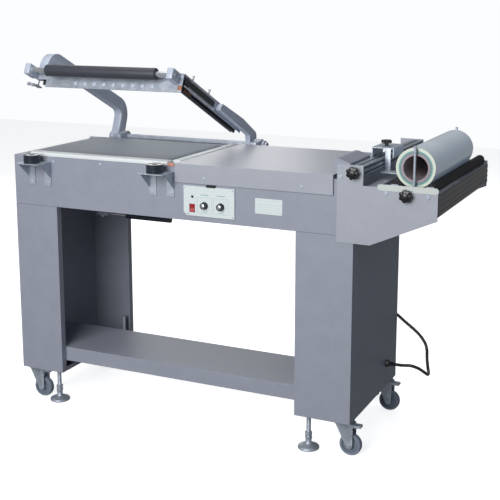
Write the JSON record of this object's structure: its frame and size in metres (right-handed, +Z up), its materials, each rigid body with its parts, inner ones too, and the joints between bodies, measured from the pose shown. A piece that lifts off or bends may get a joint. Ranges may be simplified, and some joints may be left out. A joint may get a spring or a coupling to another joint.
{
  "type": "l-bar film sealer",
  "caption": "Floor-standing L-bar sealer with a belt bed, a hinged sealing arm held open by a balance spring, a film tray and a roller stand for a film roll.",
  "frame": {"origin": "on the floor, under the middle of the machine without its cord", "axes": "+X from the conveyor end to the film roll end, +Y from the operator side to the rear, +Z up"},
  "size_m": [1.547, 0.7544, 1.2717],
  "materials": {
    "powder_coat": "fine-textured blue-grey powder coat",
    "tray_steel": "brushed stainless sheet",
    "zinc": "bright zinc plate",
    "chrome": "polished chrome",
    "aluminium": "satin cast and drawn aluminium",
    "belt": "matt woven-backed belt",
    "pad": "white silicone",
    "black_plastic": "satin black moulding",
    "black_enamel": "black paint on steel",
    "blade_coat": "dark non-stick coating",
    "black_rubber": "matt black rubber",
    "foam": "closed-cell foam grip",
    "panel": "pale printed face plate",
    "red_switch": "red rocker",
    "film": "clear shrink film wound on a core",
    "wheel": "grey moulded wheel and tread"
  },
  "bodies": {
    "frame": {"control_panel": "panel", "conveyor_belt": "belt", "cord": "black_rubber", "cord_coil": "black_rubber", "cord_gland": "black_plastic", "film_hood": "powder_coat", "film_stand": "powder_coat", "film_tray": "tray_steel", "front_seal_pad": "pad", "left_bearing": "zinc", "left_leg": "powder_coat", "left_magnet": "black_enamel", "left_magnet_bracket": "zinc", "lower_shelf": "powder_coat", "main_body": "powder_coat", "plug": "black_plastic", "right_bearing": "zinc", "right_leg": "powder_coat", "right_magnet": "black_enamel", "right_magnet_bracket": "zinc", "side_seal_pad": "pad", "slotted_rail": "aluminium", "spring_cylinder": "black_enamel"},
    "sealing_arm": {"front_bar": "zinc", "side_bar": "zinc", "seal_blade": "blade_coat", "handle_rod": "chrome", "handle_grip": "foam", "left_end_block": "zinc", "right_end_block": "zinc", "left_support_arm": "aluminium", "right_support_arm": "aluminium", "pivot_shaft": "zinc"},
    "spring_rod": {"spring_rod": "chrome"},
    "drive_roller": {"drive_roller": "aluminium"},
    "idler_roller": {"idler_roller": "aluminium"},
    "power_switch": {"power_switch": "red_switch"},
    "time_knob": {"time_knob": "black_plastic"},
    "temperature_knob": {"temperature_knob": "black_plastic"},
    "film_punch": {"film_punch": "zinc"},
    "punch_knob": {"punch_knob": "black_plastic"},
    "rail_clamp_knob": {"rail_clamp_knob": "black_plastic"},
    "stop_clamp_knob": {"stop_clamp_knob": "black_plastic"},
    "front_stop": {"front_stop": "zinc"},
    "rear_stop": {"rear_stop": "zinc"},
    "film_roll": {"film_roll": "film"},
    "left_film_roller": {"left_film_roller": "black_rubber"},
    "right_film_roller": {"right_film_roller": "black_rubber"},
    "front_left_caster": {"front_left_caster_fork": "zinc"},
    "front_left_wheel": {"front_left_caster_wheel": "wheel"},
    "front_right_caster": {"front_right_caster_fork": "zinc"},
    "front_right_wheel": {"front_right_caster_wheel": "wheel"},
    "rear_left_caster": {"rear_left_caster_fork": "zinc"},
    "rear_left_wheel": {"rear_left_caster_wheel": "wheel"},
    "rear_right_caster": {"rear_right_caster_fork": "zinc"},
    "rear_right_wheel": {"rear_right_caster_wheel": "wheel"},
    "front_left_foot": {"front_left_foot": "zinc"},
    "front_right_foot": {"front_right_foot": "zinc"},
    "rear_left_foot": {"rear_left_foot": "zinc"},
    "rear_right_foot": {"rear_right_foot": "zinc"}
  },
  "joints": [
    {"name": "arm_hinge", "type": "hinge", "parent": "frame", "child": "sealing_arm", "pos_m": [-0.3935, 0.269, 0.923], "axis": [1, 0, 0], "range_deg": [0, 25.2], "stiffness_Nm_per_rad": 20, "springref_deg": -117.46},
    {"name": "spring_rod_slide", "type": "slide", "parent": "frame", "child": "spring_rod", "axis": [1, 0, 0], "range_m": [-0.0264, 0]},
    {"name": "drive_roller_spin", "type": "hinge", "parent": "frame", "child": "drive_roller", "pos_m": [-0.1915, -0.036, 0.8995], "axis": [0, 1, 0], "continuous": true},
    {"name": "idler_roller_spin", "type": "hinge", "parent": "frame", "child": "idler_roller", "pos_m": [-0.7125, -0.036, 0.8995], "axis": [0, 1, 0], "continuous": true},
    {"name": "power_switch_rock", "type": "hinge", "parent": "frame", "child": "power_switch", "pos_m": [-0.0508, -0.2943, 0.7868], "axis": [1, 0, 0], "range_deg": [0, 7]},
    {"name": "time_knob_turn", "type": "hinge", "parent": "frame", "child": "time_knob", "pos_m": [-0.0044, -0.2966, 0.7985], "axis": [0, -1, 0], "range_deg": [0, 270]},
    {"name": "temperature_knob_turn", "type": "hinge", "parent": "frame", "child": "temperature_knob", "pos_m": [0.0555, -0.2966, 0.799], "axis": [0, -1, 0], "range_deg": [0, 270]},
    {"name": "film_punch_slide", "type": "slide", "parent": "frame", "child": "film_punch", "axis": [0, 1, 0], "range_m": [-0.1, 0.33]},
    {"name": "punch_knob_turn", "type": "hinge", "parent": "film_punch", "child": "punch_knob", "pos_m": [0.52875, -0.041, 1.0108], "axis": [0, 0, 1], "continuous": true},
    {"name": "rail_clamp_turn", "type": "hinge", "parent": "frame", "child": "rail_clamp_knob", "pos_m": [0.5095, -0.3106, 0.945], "axis": [0, 1, 0], "continuous": true},
    {"name": "stop_clamp_turn", "type": "hinge", "parent": "frame", "child": "stop_clamp_knob", "pos_m": [0.6775, -0.3106, 0.887], "axis": [0, 1, 0], "continuous": true},
    {"name": "front_stop_slide", "type": "slide", "parent": "frame", "child": "front_stop", "axis": [0, 1, 0], "range_m": [-0.01, 0.002]},
    {"name": "rear_stop_slide", "type": "slide", "parent": "frame", "child": "rear_stop", "axis": [0, 1, 0], "range_m": [-0.002, 0.12]},
    {"name": "film_roll_spin", "type": "hinge", "parent": "frame", "child": "film_roll", "pos_m": [0.6935, -0.021, 0.96591], "axis": [0, 1, 0], "continuous": true},
    {"name": "left_film_roller_spin", "type": "hinge", "parent": "frame", "child": "left_film_roller", "pos_m": [0.639, 0.038, 0.909], "axis": [0, 1, 0], "continuous": true},
    {"name": "right_film_roller_spin", "type": "hinge", "parent": "frame", "child": "right_film_roller", "pos_m": [0.748, 0.038, 0.909], "axis": [0, 1, 0], "continuous": true},
    {"name": "front_left_caster_swivel", "type": "hinge", "parent": "frame", "child": "front_left_caster", "pos_m": [-0.7425, -0.246, 0.1], "axis": [0, 0, 1], "continuous": true},
    {"name": "front_left_wheel_spin", "type": "hinge", "parent": "front_left_caster", "child": "front_left_wheel", "pos_m": [-0.7145, -0.246, 0.0395], "axis": [0, 1, 0], "continuous": true},
    {"name": "front_right_caster_swivel", "type": "hinge", "parent": "frame", "child": "front_right_caster", "pos_m": [0.4725, -0.246, 0.1], "axis": [0, 0, 1], "continuous": true},
    {"name": "front_right_wheel_spin", "type": "hinge", "parent": "front_right_caster", "child": "front_right_wheel", "pos_m": [0.5005, -0.246, 0.0395], "axis": [0, 1, 0], "continuous": true},
    {"name": "rear_left_caster_swivel", "type": "hinge", "parent": "frame", "child": "rear_left_caster", "pos_m": [-0.7425, 0.171, 0.1], "axis": [0, 0, 1], "continuous": true},
    {"name": "rear_left_wheel_spin", "type": "hinge", "parent": "rear_left_caster", "child": "rear_left_wheel", "pos_m": [-0.7145, 0.171, 0.0395], "axis": [0, 1, 0], "continuous": true},
    {"name": "rear_right_caster_swivel", "type": "hinge", "parent": "frame", "child": "rear_right_caster", "pos_m": [0.4725, 0.171, 0.1], "axis": [0, 0, 1], "continuous": true},
    {"name": "rear_right_wheel_spin", "type": "hinge", "parent": "rear_right_caster", "child": "rear_right_wheel", "pos_m": [0.5005, 0.171, 0.0395], "axis": [0, 1, 0], "continuous": true},
    {"name": "front_left_foot_adjust", "type": "slide", "parent": "frame", "child": "front_left_foot", "axis": [0, 0, 1], "range_m": [-0.02, 0]},
    {"name": "front_right_foot_adjust", "type": "slide", "parent": "frame", "child": "front_right_foot", "axis": [0, 0, 1], "range_m": [-0.02, 0]},
    {"name": "rear_left_foot_adjust", "type": "slide", "parent": "frame", "child": "rear_left_foot", "axis": [0, 0, 1], "range_m": [-0.02, 0]},
    {"name": "rear_right_foot_adjust", "type": "slide", "parent": "frame", "child": "rear_right_foot", "axis": [0, 0, 1], "range_m": [-0.02, 0]}
  ],
  "couplings": [
    {"joint": "spring_rod_slide", "follows": "arm_hinge", "m_per_rad": -0.06},
    {"joint": "idler_roller_spin", "follows": "drive_roller_spin", "ratio": 1},
    {"joint": "left_film_roller_spin", "follows": "film_roll_spin", "ratio": -3.7576},
    {"joint": "right_film_roller_spin", "follows": "film_roll_spin", "ratio": -3.7576}
  ]
}
